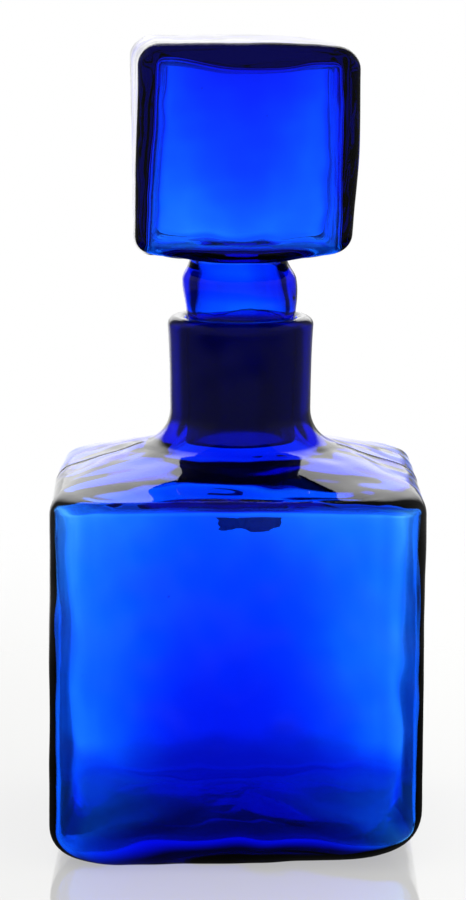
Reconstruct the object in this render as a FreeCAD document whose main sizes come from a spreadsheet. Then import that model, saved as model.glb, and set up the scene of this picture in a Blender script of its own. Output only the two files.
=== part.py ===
import FreeCAD, Part
import math
import os
import Sketcher

# Stoppered square decanter in blown glass: a square bottle with a hipped shoulder and a round
# neck, a hollow cube stopper that drops into the neck, and a small paper label on the back.
# Millimetres, +Z up. The origin is the middle of the base, on the table. The front faces -Y.

# Driving dimensions, each set by itself.
DIMENSIONS = [
    ("body_width", 108.0),          # across the flats of the square body
    ("corner_radius", 12.0),        # upright edges of the body
    ("edge_height", 109.0),         # table to the arris between walls and shoulder
    ("arris_radius", 4.0),          # rounding of that arris
    ("base_edge_radius", 10.0),     # rounding between walls and base
    ("wall", 3.4),                  # thickness of the four walls
    ("base_thickness", 8.5),        # table to the floor of the cavity
    ("floor_radius", 6.0),          # rounding between walls and floor, inside
    ("pushup_width", 62.0),         # diameter of the hollow under the base
    ("pushup_depth", 2.5),          # depth of that hollow
    ("shoulder_rise", 8.2),         # arris to the root of the neck
    ("shoulder_wall", 3.8),         # upright thickness of the shoulder
    ("bore_diameter", 33.0),        # bore of the neck at the lip
    ("bore_taper", 1.2),            # how much narrower the bore is at its lower end
    ("neck_wall", 4.6),             # glass around the bore, below the lip
    ("lip_swell", 0.5),             # how far the lip stands out from the neck
    ("neck_length", 37.8),          # root of the neck to the top of the lip
    ("lip_radius", 2.6),            # rounding of the lip's outer edge
    ("mouth_radius", 1.4),          # rounding of the lip's inner edge
    ("neck_flare", 5.0),            # curve from neck to shoulder, outside
    ("root_land", 1.6),             # shoulder left level around that curve
    ("throat_flare", 4.0),          # curve from bore to shoulder, inside
    ("peg_clearance", 0.3),         # gap between peg and bore, all round
    ("peg_depth", 40.0),            # lip to the peg's lower end
    ("peg_wall", 3.2),              # thickness of the peg
    ("peg_rim_radius", 1.0),        # rounding of the peg's rim
    ("waist_height", 18.5),         # lip to the underside of the head
    ("waist_diameter", 29.8),       # where peg and head meet
    ("swell_radius", 30.0),         # curve of the bulge between lip and head
    ("head_width", 64.0),           # across the flats of the cube head
    ("head_height", 63.0),          # underside to top of the head
    ("head_corner_radius", 8.0),    # upright edges of the head
    ("head_edge_radius", 6.5),      # edges round the top and the underside of the head
    ("head_wall", 4.6),             # thickness of the head's walls
    ("hollow_edge_radius", 2.4),    # edges round the ceiling and floor of the head's hollow
    ("stopper_turn", 4.0),          # degrees that the stopper is turned in the neck
    ("label_width", 19.8),          # along X
    ("label_height", 6.6),          # along Z
    ("label_thickness", 0.2),       # paper and glue
    ("label_corner_radius", 1.2),   # corners of the paper
    ("label_shift", 3.0),           # middle of the back wall to the middle of the label
    ("label_drop", 29.1),           # arris to the middle of the label
]

# Sizes that follow from the driving ones, as formulas on the sheet.
DERIVED = [
    ("neck_radius", "bore_diameter / 2 + neck_wall"),
    ("lip_rim_radius", "neck_radius + lip_swell"),
    ("root_corner_radius", "neck_radius + neck_flare"),
    ("root_width", "2 * (root_corner_radius + root_land)"),
    ("root_height", "edge_height + shoulder_rise"),
    ("lip_height", "root_height + neck_length"),
    ("shoulder_slope", "2 * shoulder_rise / (body_width - root_width)"),
    ("pushup_half", "pushup_width / 2"),
    ("pushup_radius", "(pushup_width ^ 2 / 4 + pushup_depth ^ 2) / (2 * pushup_depth)"),
    ("cavity_width", "body_width - 2 * wall"),
    ("cavity_corner_radius", "corner_radius - wall"),
    ("cavity_edge_height", "edge_height - shoulder_wall + wall * shoulder_slope"),
    ("cavity_height", "cavity_edge_height - base_thickness"),
    ("cavity_root_height", "root_height - shoulder_wall"),
    ("bore_radius", "bore_diameter / 2"),
    ("bore_end_radius", "(bore_diameter - bore_taper) / 2"),
    ("bore_slope", "(bore_radius - bore_end_radius) / (lip_height - cavity_root_height)"),
    ("peg_radius", "bore_radius - peg_clearance"),
    ("peg_end_radius", "peg_radius - peg_depth * bore_slope"),
    ("peg_end_height", "lip_height - peg_depth"),
    ("waist_radius", "waist_diameter / 2"),
    ("head_base", "peg_depth + waist_height"),
    ("hollow_base", "head_base + head_wall"),
    ("hollow_width", "head_width - 2 * head_wall"),
    ("hollow_height", "head_height - 2 * head_wall"),
    ("hollow_corner_radius", "head_corner_radius - head_wall"),
    ("peg_bore_radius", "peg_radius - peg_wall"),
    ("peg_end_bore_radius", "peg_end_radius - peg_wall"),
    ("waist_bore_radius", "waist_radius - peg_wall"),
    ("label_place", "body_width / 2"),
    ("label_middle", "edge_height - label_drop"),
]

PLACE_TOLERANCE = 1e-4              # for finding an edge by where it lies

doc = FreeCAD.newDocument("decanter")
sheet = doc.addObject("Spreadsheet::Sheet", "sizes")
cells = [(alias, str(value)) for alias, value in DIMENSIONS]
cells += [(alias, "=" + formula) for alias, formula in DERIVED]
for row, (alias, content) in enumerate(cells, start=1):
    sheet.set("A%d" % row, alias)
    sheet.set("B%d" % row, content)
    sheet.setAlias("B%d" % row, alias)
doc.recompute()


def size(alias):
    return float(sheet.get(alias))


def cell(alias):
    return "sizes." + alias


def attached_sketch(body, name, role, height=None):
    # A sketch on one of the body's own planes, raised by a cell of the sheet where one is named.
    plane = next(item for item in body.Origin.OriginFeatures if item.Role == role)
    sketch = body.newObject("Sketcher::SketchObject", name)
    sketch.AttachmentSupport = [(plane, "")]
    sketch.MapMode = "FlatFace"
    if height:
        sketch.setExpression("AttachmentOffset.Base.z", cell(height))
    return sketch


def dimension(sketch, kind, where, name, alias):
    # A constraint that a cell of the sheet drives.
    index = sketch.addConstraint(Sketcher.Constraint(kind, *where, size(alias)))
    sketch.renameConstraint(index, name)
    sketch.setExpression("Constraints." + name, cell(alias))


def rounded_rectangle(body, name, role, width, depth, radius, height=None):
    # A rectangle about the origin with four equal round corners.
    sketch = attached_sketch(body, name, role, height)
    half_x = size(width) / 2
    half_y = size(depth) / 2
    round_off = size(radius)
    x_in = half_x - round_off
    y_in = half_y - round_off
    sides = [
        ((-x_in, -half_y), (x_in, -half_y)),
        ((half_x, -y_in), (half_x, y_in)),
        ((x_in, half_y), (-x_in, half_y)),
        ((-half_x, y_in), (-half_x, -y_in)),
    ]
    centres = [(x_in, -y_in), (x_in, y_in), (-x_in, y_in), (-x_in, -y_in)]
    upwards = FreeCAD.Vector(0, 0, 1)
    for start, end in sides:
        sketch.addGeometry(Part.LineSegment(FreeCAD.Vector(*start, 0), FreeCAD.Vector(*end, 0)))
    for quarter, centre in enumerate(centres, start=-1):
        circle = Part.Circle(FreeCAD.Vector(*centre, 0), upwards, round_off)
        first_angle = quarter * math.pi / 2
        sketch.addGeometry(Part.ArcOfCircle(circle, first_angle, first_angle + math.pi / 2))
    for side in range(4):
        corner = side + 4
        sketch.addConstraint(Sketcher.Constraint("Tangent", side, 2, corner, 1))
        sketch.addConstraint(Sketcher.Constraint("Tangent", corner, 2, (side + 1) % 4, 1))
        sketch.addConstraint(Sketcher.Constraint("Vertical" if side % 2 else "Horizontal", side))
    for corner in (5, 6, 7):
        sketch.addConstraint(Sketcher.Constraint("Equal", 4, corner))
    sketch.addConstraint(Sketcher.Constraint("Symmetric", 4, 3, 6, 3, -1, 1))
    dimension(sketch, "Radius", (4,), "round_off", radius)
    dimension(sketch, "DistanceX", (3, 1, 1, 1), "across", width)
    dimension(sketch, "DistanceY", (0, 1, 2, 1), "along", depth)
    return sketch


def bulging_arc(start, end, radius):
    # The arc of a given radius from start to end that bulges to the right of the way it goes.
    chord = end - start
    middle = (start + end) / 2
    sideways = FreeCAD.Vector(-chord.y, chord.x, 0).normalize()
    centre = middle + sideways * math.sqrt(radius ** 2 - chord.Length ** 2 / 4)
    circle = Part.Circle(centre, FreeCAD.Vector(0, 0, 1), radius)
    return Part.ArcOfCircle(circle, circle.parameter(start), circle.parameter(end))


def upright_profile(body, name, corners, arcs=None):
    # A closed outline in the XZ plane, anticlockwise. A corner is a pair of cells, (from the axis,
    # height), where None is zero. arcs gives the cell of the radius of each side that bulges.
    arcs = arcs or {}
    sketch = attached_sketch(body, name, "XZ_Plane")
    points = []
    for across, up in corners:
        points.append(FreeCAD.Vector(size(across) if across else 0, size(up) if up else 0, 0))
    count = len(points)
    for side, start in enumerate(points):
        end = points[(side + 1) % count]
        if side in arcs:
            sketch.addGeometry(bulging_arc(start, end, size(arcs[side])))
        else:
            sketch.addGeometry(Part.LineSegment(start, end))
    for side, (across, up) in enumerate(corners):
        sketch.addConstraint(Sketcher.Constraint("Coincident", side, 2, (side + 1) % count, 1))
        if across:
            dimension(sketch, "DistanceX", (-1, 1, side, 1), "across_%d" % side, across)
        else:
            sketch.addConstraint(Sketcher.Constraint("PointOnObject", side, 1, -2))
        if up:
            dimension(sketch, "DistanceY", (-1, 1, side, 1), "up_%d" % side, up)
        else:
            sketch.addConstraint(Sketcher.Constraint("PointOnObject", side, 1, -1))
    for side, alias in arcs.items():
        dimension(sketch, "Radius", (side,), "bulge_%d" % side, alias)
    return sketch


def pad(body, name, sketch, length, reversed_way=False):
    feature = body.newObject("PartDesign::Pad", name)
    feature.Profile = sketch
    feature.Reversed = reversed_way
    feature.setExpression("Length", cell(length))
    doc.recompute()
    return feature


def hollow_block(body, name, sketch, length):
    # A pocket that runs upwards from its sketch.
    before = body.Shape.Volume
    feature = body.newObject("PartDesign::Pocket", name)
    feature.Profile = sketch
    feature.Reversed = True
    feature.setExpression("Length", cell(length))
    doc.recompute()
    require_less(name, before, body.Shape.Volume)
    return feature


def turned(body, name, sketch, cuts=False):
    # The sketch carried round the upright axis, as solid or as a cut.
    before = body.Shape.Volume
    feature = body.newObject("PartDesign::Groove" if cuts else "PartDesign::Revolution", name)
    feature.Profile = sketch
    feature.ReferenceAxis = (sketch, ["V_Axis"])
    feature.Angle = 360
    doc.recompute()
    if cuts:
        require_less(name, before, body.Shape.Volume)
    return feature


def lofted(body, name, lower, upper, cuts=False):
    kind = "PartDesign::SubtractiveLoft" if cuts else "PartDesign::AdditiveLoft"
    feature = body.newObject(kind, name)
    feature.Profile = lower
    feature.Sections = [upper]
    feature.Ruled = True
    doc.recompute()
    return feature


def rounded(body, name, radius, edge_test):
    # A fillet on every edge of the body that passes the test.
    base = body.Tip
    edges = []
    for number, edge in enumerate(base.Shape.Edges, start=1):
        if edge_test(edge):
            edges.append("Edge%d" % number)
    if not edges:
        raise RuntimeError("no edge found for " + name)
    feature = body.newObject("PartDesign::Fillet", name)
    feature.Base = (base, edges)
    feature.setExpression("Radius", cell(radius))
    doc.recompute()
    return feature


def level_edge(height, least=0.0, most=math.inf):
    # Tests for an edge that lies level at a height, all of it between two distances from the axis.
    def lies_there(edge):
        box = edge.BoundBox
        if abs(box.ZMin - height) > PLACE_TOLERANCE or abs(box.ZMax - height) > PLACE_TOLERANCE:
            return False
        away = [math.hypot(point.x, point.y) for point in edge.discretize(3)]
        return least <= min(away) and max(away) <= most
    return lies_there


def require_less(name, before, after):
    if not after < before:
        raise RuntimeError(name + " cut nothing")


def make_bottle():
    # One blown piece: square body, hipped shoulder, neck and lip outside, one cavity inside.
    body = doc.addObject("PartDesign::Body", "bottle")
    body.Label = "bottle"

    footprint = rounded_rectangle(
        body, "footprint", "XY_Plane", "body_width", "body_width", "corner_radius")
    pad(body, "square_body", footprint, "edge_height")
    shoulder_foot = rounded_rectangle(
        body, "shoulder_foot", "XY_Plane", "body_width", "body_width", "corner_radius",
        "edge_height")
    shoulder_top = rounded_rectangle(
        body, "shoulder_top", "XY_Plane", "root_width", "root_width", "root_corner_radius",
        "root_height")
    lofted(body, "shoulder", shoulder_foot, shoulder_top)
    rounded(body, "arris", "arris_radius", level_edge(size("edge_height")))
    rounded(body, "base_edge", "base_edge_radius", level_edge(0))

    neck_outline = upright_profile(body, "neck_outline", [
        (None, "root_height"),
        ("neck_radius", "root_height"),
        ("lip_rim_radius", "lip_height"),
        (None, "lip_height"),
    ])
    turned(body, "neck", neck_outline)
    rounded(body, "neck_root", "neck_flare",
            level_edge(size("root_height"), most=size("neck_radius") + PLACE_TOLERANCE))
    rounded(body, "lip", "lip_radius", level_edge(size("lip_height")))

    pushup_outline = upright_profile(body, "pushup_outline", [
        (None, None),
        ("pushup_half", None),
        (None, "pushup_depth"),
    ], {1: "pushup_radius"})
    turned(body, "pushup", pushup_outline, cuts=True)

    bore_outline = upright_profile(body, "bore_outline", [
        (None, "cavity_edge_height"),
        ("bore_end_radius", "cavity_edge_height"),
        ("bore_end_radius", "cavity_root_height"),
        ("bore_radius", "lip_height"),
        (None, "lip_height"),
    ])
    turned(body, "bore", bore_outline, cuts=True)
    cavity_floor = rounded_rectangle(
        body, "cavity_floor", "XY_Plane", "cavity_width", "cavity_width",
        "cavity_corner_radius", "base_thickness")
    hollow_block(body, "cavity", cavity_floor, "cavity_height")
    cavity_foot = rounded_rectangle(
        body, "cavity_foot", "XY_Plane", "cavity_width", "cavity_width",
        "cavity_corner_radius", "cavity_edge_height")
    cavity_top = rounded_rectangle(
        body, "cavity_top", "XY_Plane", "root_width", "root_width", "root_corner_radius",
        "cavity_root_height")
    lofted(body, "cavity_shoulder", cavity_foot, cavity_top, cuts=True)

    rounded(body, "floor_edge", "floor_radius", level_edge(size("base_thickness")))
    rounded(body, "throat", "throat_flare",
            level_edge(size("cavity_root_height"), most=size("bore_end_radius") + PLACE_TOLERANCE))
    rounded(body, "mouth", "mouth_radius",
            level_edge(size("lip_height"), most=size("bore_radius") + PLACE_TOLERANCE))
    return body


def make_stopper():
    # One blown piece: a hollow cube on a bulged throat and a hollow peg that is open below. It is
    # drawn from the peg's lower end upwards, and stands in the neck with its bulge over the lip.
    body = doc.addObject("PartDesign::Body", "stopper")
    body.Label = "stopper"

    head_foot = rounded_rectangle(
        body, "head_foot", "XY_Plane", "head_width", "head_width", "head_corner_radius",
        "head_base")
    pad(body, "head", head_foot, "head_height")
    head_top = size("head_base") + size("head_height")
    rounded(body, "head_top_edge", "head_edge_radius", level_edge(head_top))
    rounded(body, "head_base_edge", "head_edge_radius", level_edge(size("head_base")))

    peg_outline = upright_profile(body, "peg_outline", [
        (None, None),
        ("peg_end_radius", None),
        ("peg_radius", "peg_depth"),
        ("waist_radius", "head_base"),
        (None, "head_base"),
    ], {2: "swell_radius"})
    turned(body, "peg", peg_outline)

    peg_bore_outline = upright_profile(body, "peg_bore_outline", [
        (None, None),
        ("peg_end_bore_radius", None),
        ("peg_bore_radius", "peg_depth"),
        ("waist_bore_radius", "head_base"),
        ("waist_bore_radius", "hollow_base"),
        (None, "hollow_base"),
    ], {2: "swell_radius"})
    turned(body, "peg_bore", peg_bore_outline, cuts=True)
    hollow_floor = rounded_rectangle(
        body, "hollow_floor", "XY_Plane", "hollow_width", "hollow_width",
        "hollow_corner_radius", "hollow_base")
    hollow_block(body, "head_hollow", hollow_floor, "hollow_height")

    hollow_top = size("hollow_base") + size("hollow_height")
    rounded(body, "hollow_top_edge", "hollow_edge_radius", level_edge(hollow_top))
    rounded(body, "hollow_base_edge", "hollow_edge_radius",
            level_edge(size("hollow_base"), least=size("waist_radius")))
    rounded(body, "peg_rim", "peg_rim_radius", level_edge(0))

    upright = FreeCAD.Rotation(FreeCAD.Vector(0, 0, 1), size("stopper_turn"))
    body.Placement = FreeCAD.Placement(FreeCAD.Vector(0, 0, size("peg_end_height")), upright)
    body.setExpression("Placement.Base.z", cell("peg_end_height"))
    body.setExpression("Placement.Rotation.Angle", cell("stopper_turn"))
    return body


def make_label():
    # A plain rounded scrap of paper, flat on the outside of the back wall.
    body = doc.addObject("PartDesign::Body", "label")
    body.Label = "label"
    outline = rounded_rectangle(
        body, "label_outline", "XZ_Plane", "label_width", "label_height", "label_corner_radius")
    pad(body, "paper", outline, "label_thickness", reversed_way=True)
    body.setExpression("Placement.Base.x", cell("label_shift"))
    body.setExpression("Placement.Base.y", cell("label_place"))
    body.setExpression("Placement.Base.z", cell("label_middle"))
    return body


parts = [make_bottle(), make_stopper(), make_label()]
doc.recompute()

for item in doc.Objects:
    if "Invalid" in item.State or "Error" in item.State:
        raise RuntimeError("%s failed: %s" % (item.Name, item.State))
for part in parts:
    if part.Shape.isNull() or not part.Shape.isValid() or len(part.Shape.Solids) != 1:
        raise RuntimeError(part.Label + " is not one valid solid")

os.makedirs("parts", exist_ok=True)
for part in parts:
    part.Shape.exportStep("parts/%s.step" % part.Label)
    box = part.Shape.BoundBox
    print("%s: %.1f cm3, x %.2f to %.2f, y %.2f to %.2f, z %.2f to %.2f" % (
        part.Label, part.Shape.Volume / 1000,
        box.XMin, box.XMax, box.YMin, box.YMax, box.ZMin, box.ZMax))
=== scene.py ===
import math

import bpy
import numpy as np
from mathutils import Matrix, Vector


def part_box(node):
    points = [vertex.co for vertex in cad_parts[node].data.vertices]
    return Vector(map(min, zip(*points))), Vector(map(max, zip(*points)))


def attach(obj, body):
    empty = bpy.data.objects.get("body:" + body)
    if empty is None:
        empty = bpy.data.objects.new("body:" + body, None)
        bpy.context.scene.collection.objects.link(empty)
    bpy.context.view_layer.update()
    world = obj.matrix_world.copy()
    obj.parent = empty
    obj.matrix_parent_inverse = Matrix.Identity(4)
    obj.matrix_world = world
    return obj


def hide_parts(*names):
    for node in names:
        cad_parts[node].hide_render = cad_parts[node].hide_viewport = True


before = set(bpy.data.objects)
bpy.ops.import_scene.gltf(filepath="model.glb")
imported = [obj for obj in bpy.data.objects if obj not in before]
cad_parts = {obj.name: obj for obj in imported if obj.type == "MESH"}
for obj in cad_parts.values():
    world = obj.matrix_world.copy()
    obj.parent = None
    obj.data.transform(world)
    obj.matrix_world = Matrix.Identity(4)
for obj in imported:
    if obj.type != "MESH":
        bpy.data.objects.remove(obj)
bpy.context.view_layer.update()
scene = bpy.context.scene
scene.view_settings.view_transform = "Standard"
mm = 0.001  # pieces are drawn in millimetres, and their meshes are scaled by this at the end
quarter = math.pi / 2
print("frame loaded:", sorted(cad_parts))


def nodeBox(name):
    # lowest and highest corner of a node, in millimetres
    low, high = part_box(name)
    return np.array(low) / mm, np.array(high) / mm


# helpers for surfaces

def ease(value, start, end, base=0):
    # smooth step: 0 before start, 1 after end, and 3t^2 - 2t^3 between them, both counted from base
    start, end = base + start, base + end
    share = np.clip((value - start) / (end - start), 0, 1)
    return share * share * (3 - 2 * share)


def bell(offset, width):
    # bell curve: e to the power of minus (offset over width) squared
    return np.exp(-(offset / width) ** 2)


def rows(count):
    # shares of the way from 0 up to, not including, 1, one to a row
    return np.linspace(0, 1, count, endpoint=False)[:, None]


def turn(angle, centre):
    # how far an angle is from a centre angle, the short way round
    return (angle - centre + math.pi) % (2 * math.pi) - math.pi


def evenSpots(count, first, degrees, gain):
    # spots for columnAngles, evenly spaced round the axis from a first angle
    return [(first + k * 2 * math.pi / count, math.radians(degrees), gain) for k in range(count)]


def columnAngles(count, spots):
    # angles once round the axis, closer together near each spot (angle, width, gain):
    # the running sum of the density 1 + gain * bell is cut into equal shares
    fine = np.linspace(-math.pi, math.pi, 14401)
    density = np.ones_like(fine)
    for angle, width, gain in spots:
        density += gain * bell(turn(fine, angle), width)
    share = np.cumsum(density) / density.sum()
    return np.interp((np.arange(count) + 0.5) / count, share, fine)


def nearCorner(angle):
    # sine squared of twice the angle: 0 at the middle of a face, 1 at a corner, level at both
    return np.sin(2 * angle) ** 2


def roundedSquare(angle, half, corner):
    # distance from the axis to a square whose corners are rounded: half / cos on the straight
    # run, and on the corner the far crossing of the ray with the corner's circle
    folded = np.abs((angle + quarter / 2) % quarter - quarter / 2)
    flat = half - corner
    along = flat * (np.cos(folded) + np.sin(folded))
    arc = along + np.sqrt(np.maximum(along ** 2 - 2 * flat ** 2 + corner ** 2, 0))
    return np.where(half * np.tan(folded) < flat, half / np.cos(folded), arc)


def unevenness(points, waveSets, count=20):
    # skin of hand-worked glass: for each set (seed, size, shortest, longest) plane sine waves in
    # random directions, the long ones higher than the short ones, with size as root mean square
    flat = points.reshape(-1, 3)
    total = np.zeros(len(flat))
    for seed, size, shortest, longest in waveSets:
        draw = np.random.default_rng(seed)
        length = np.geomspace(shortest, longest, count)
        heading = draw.normal(size=(count, 3))
        heading /= np.linalg.norm(heading, axis=1, keepdims=True) * length[:, None]
        phase = draw.uniform(0, 2 * math.pi, count)
        height = size * length / math.sqrt((length ** 2).sum() / 2)
        total += np.sin(flat @ heading.T * 2 * math.pi + phase) @ height
    return total.reshape(points.shape[:-1])


class Profile:
    # a closed skin as rows of rounded squares, added block by block, each block with its kind
    def __init__(self, angle):
        self.angle = angle
        self.blocks = []
        self.kinds = []

    def add(self, kind, half, corner, height):
        block = np.broadcast_arrays(half, corner, height, np.zeros_like(self.angle))[:3]
        self.blocks.append(block)
        self.kinds.extend([kind] * len(block[0]))

    def arc(self, kind, count, half, height, radius, start, sweep, corner=None):
        # part of a circle with its centre at (half, height): radius times (cos, sin) of angles from
        # start over sweep, and round about the axis where no corner is given
        tilt = start + rows(count) * sweep
        here = half + radius * np.cos(tilt)
        self.add(kind, here, here if corner is None else corner, height + radius * np.sin(tilt))

    def whole(self):
        # half widths, heights, points and kinds of all rows; a point is the distance from the
        # axis times (cos, sin), and the height
        half, corner, height = (np.concatenate(part) for part in zip(*self.blocks))
        reach = roundedSquare(self.angle, half, corner)
        points = np.stack([reach * np.cos(self.angle), reach * np.sin(self.angle), height], axis=2)
        return half, height, points, np.array(self.kinds)[:, None]


def alongNormals(points, shift):
    # moves a grid along its own normals, the cross product of its two directions
    around = np.roll(points, -1, 1) - np.roll(points, 1, 1)
    onward = np.gradient(points, axis=0)
    normal = np.cross(around, onward)
    normal /= np.maximum(np.linalg.norm(normal, axis=2, keepdims=True), 1e-9)
    return points + normal * shift[..., None]


def newPiece(name, corners, faces):
    # an object at the origin, with its place in its mesh
    mesh = bpy.data.meshes.new(name)
    mesh.from_pydata(corners, [], faces)
    mesh.shade_smooth()
    piece = bpy.data.objects.new(name, mesh)
    scene.collection.objects.link(piece)
    return piece


def closedSkin(name, points):
    # a mesh from rows of points joined round, with a fan of triangles at both ends
    rowCount, columnCount = points.shape[:2]
    grid = np.arange(rowCount * columnCount).reshape(rowCount, columnCount)
    beside = np.roll(grid, -1, 1)
    quads = np.stack([grid[:-1], beside[:-1], beside[1:], grid[1:]], 2).reshape(-1, 4)
    poles = np.stack([points[0].mean(0), points[-1].mean(0)])
    first = np.full(columnCount, grid.size)
    startFan = np.stack([first, beside[0], grid[0]], 1)
    endFan = np.stack([grid[-1], beside[-1], first + 1], 1)
    corners = np.concatenate([points.reshape(-1, 3), poles]) * mm
    return newPiece(name, corners, quads.tolist() + startFan.tolist() + endFan.tolist())


# helpers for materials

class Wire:
    # an output socket that can be used in sums: each operation adds one Math node
    def __init__(self, bench, socket):
        self.bench = bench
        self.socket = socket

    def math(self, operation, *values):
        return self.bench.node("Math", {"operation": operation}, dict(enumerate(values)))

    def __add__(self, other):
        return self.math("ADD", self, other)

    def __radd__(self, other):
        return self.math("ADD", other, self)

    def __sub__(self, other):
        return self.math("SUBTRACT", self, other)

    def __rsub__(self, other):
        return self.math("SUBTRACT", other, self)

    def __mul__(self, other):
        return self.math("MULTIPLY", self, other)

    def __rmul__(self, other):
        return self.math("MULTIPLY", other, self)

    def __truediv__(self, other):
        return self.math("DIVIDE", self, other)

    def __pow__(self, other):
        return self.math("POWER", self, other)

    def between(self, start, end):
        # smooth step from 0 at start to 1 at end
        settings = {"interpolation_type": "SMOOTHSTEP"}
        return self.bench.node("MapRange", settings, {0: self, 1: start, 2: end})


class Bench:
    # a node tree to work on, emptied first
    def __init__(self, tree):
        self.tree = tree
        tree.nodes.clear()

    def node(self, kind, settings=None, sockets=None, output=0):
        # adds any shader node: its settings first, then the values or links of its sockets
        made = self.tree.nodes.new("ShaderNode" + kind)
        for name, value in (settings or {}).items():
            setattr(made, name, value)
        for name, value in (sockets or {}).items():
            if isinstance(value, Wire):
                self.tree.links.new(value.socket, made.inputs[name])
            else:
                made.inputs[name].default_value = value
        return Wire(self, made.outputs[output]) if len(made.outputs) else made

    def axes(self, vector):
        # the three parts of a vector
        outputs = self.node("SeparateXYZ", {}, {0: vector}).socket.node.outputs
        return [Wire(self, output) for output in outputs]

    def rays(self, *kinds):
        # 1 for light rays of each kind, 0 for all others
        outputs = self.node("LightPath").socket.node.outputs
        return [Wire(self, outputs[kind]) for kind in kinds]

    def mixColour(self, share, first, second):
        sockets = {0: share, 6: first, 7: second}
        return self.node("Mix", {"data_type": "RGBA"}, sockets, 2)

    def mixShader(self, share, first, second):
        return self.node("MixShader", {}, {0: share, 1: first, 2: second})

    def noise(self, place, scale, detail, stretch=(1, 1, 1)):
        settings = {"vector_type": "VECTOR"}
        stretched = self.node("Mapping", settings, {"Vector": place, "Scale": stretch})
        sockets = {"Vector": stretched, "Scale": scale, "Detail": detail}
        return self.node("TexNoise", {}, sockets)


def newMaterial(name):
    material = bpy.data.materials.new(name)
    material.use_nodes = True
    return material, Bench(material.node_tree)


def fromAxis(east, north):
    # distance from the upright axis
    return (east * east + north * north) ** 0.5


def rgba(red, green, blue):
    return (red, green, blue, 1.0)


# the bottle

bottleForm = dict(
    columns=322,
    cornerColumns=(9.0, 2.0),  # columns stand closer at the corners: degrees, gain
    seamColumns=(0.9, 12.0),  # and at the seams
    skinAllowance=0.12,  # how far the uneven skin stands proud of the even wall
    cornerRadius=13.5,
    hollowCorner=10.0,
    footRadius=10.5,
    frontRightFoot=5.0,  # how much rounder the foot is at the front right corner
    frontRightWidth=0.55,  # in radians
    ringCorner=15.0,  # corner radius of the flat ring under the foot
    pushWidth=76.0,
    pushDepth=2.5,
    pushRings=(1.2, 2.4, 19.0, 23.0),  # the first, the close ones, the next one
    scarPlace=(-1.5, 8.0),  # scar left in the push-up where the rod was broken off
    scarRadius=6.0,
    scarLobes=((3, 0.16, 0.4), (5, 0.1, 2.0)),  # number, share of the radius, start
    scarHeight=0.16,
    scarWidth=1.1,
    edgeHeight=108.1,  # level of the shoulder's edge at the middle of a face
    edgeDrop=0.3,  # how far that edge sinks at the corners
    edgeRadius=2.2,
    sideEdgeRadius=4.8,  # how much rounder that edge is on the left and the right
    sideSpan=(0.5, 0.8),  # where those sides begin, by the cosine
    shoulderSlope=0.345,
    hipPower=1.4,  # how soon the shoulder's outline turns round on the way up
    innerHipPower=1.8,  # and the outline of its inside
    shoulderWall=2.6,
    innerRoofSlope=0.32,  # of the shoulder's inside, on the left
    innerRoofFall=0.04,  # how much flatter it is on the right
    innerRoofSpan=(-25, 25),
    innerSlope=0.12,  # of the shoulder's inside in the thick collar below the neck
    collarHalf=30.0,  # half width of that collar
    collarFront=8.0,  # how much further it reaches to the front and the back
    collarSpan=(10, 24),  # but not this far to the left and the right
    collarBlend=1.5,
    neckRadius=20.95,
    neckFlare=11.0,
    lipSwell=0.75,
    lipRadius=2.6,
    mouthRadius=1.7,
    boreRadius=16.5,
    boreEnd=15.9,
    throatRadius=13.0,
    innerEdgeRadius=3.2,
    midWall=4.15,  # wall at the middle of a face
    midLevel=59.0,  # this far up
    wallGain=0.033,  # how much thicker the wall gets for each millimetre down
    topThinning=0.45,  # how much thinner it is close to the shoulder
    topSpan=(82, 104),
    cornerWall=2.4,  # wall at the corners
    cornerPower=1.6,  # how close to a corner it gets as thin as that
    cornerTopThinning=0.55,
    cornerTopSpan=(75, 104),
    rightThinning=0.25,  # and how much thinner the two right corners are
    rightSpan=(0, 0.5),
    floorHeight=5.0,
    floorThinning=2.4,  # how much thinner the floor is at the front left corner
    floorThinWidth=0.5,
    floorDome=4.8,
    floorRadius=7.0,
    heelLobe=5.0,  # how much rounder the floor's edge is at two lobes in front
    lobePlace=0.49,  # radians to the left and the right
    lobeWidth=0.24,
    heelMiddle=2.5,  # and between them
    heelMiddleWidth=0.2,
    outsideWaves=((11, 0.16, 26, 90), (12, 0.035, 7, 16)),  # nearly flat: long waves, few short
    insideWaves=((31, 0.13, 26, 80), (32, 0.03, 8, 18)),
    footShare=0.3,  # share of the outside's waves under the foot
    footSpan=(20, 44),
    neckShare=0.6,  # and on the neck
    roofSpan=(-4, 8),  # the inside's waves begin here, from the neck's radius
    floorTop=40.0,  # below this height they begin at the middle
    floorSpan=(0, 20),
    rippleWaves=((21, 0.11, 17, 46),),
    rippleRing=60.0,  # ripples are drawn on a ring of this radius
    rippleStretch=3.2,  # whose height is the distance from the axis times this
    patchWaves=((33, 0.1, 7, 15),),  # uneven patches under the shoulder
    patchStretch=(0.35, 1, 1),  # long from left to right
    patchHeights=(98, 104),
    patchStart=(24, 32),
    patchEnd=(46, 51),
    seamHeight=0.25,
    seamWidth=0.7,
    seamRise=(-6, 1),  # from the shoulder's edge
    seamSpan=(0, 6),  # from the neck's radius
    neckShift=1.0,  # the neck stands a little to the right
    shiftInner=3.0,  # all of that from the neck out to here
    shiftOuter=4.0,  # and none from here out to the wall
    shiftRise=(-13, -3),  # from the shoulder's edge
    lean=0.004,  # sideways lean of the whole body for each millimetre up
    leanCentre=55.0,
)


def leaned(points, form):
    # shears points sideways in proportion to their height
    moved = points.copy()
    moved[..., 0] += form["lean"] * (points[..., 2] - form["leanCentre"])
    return moved


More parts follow.
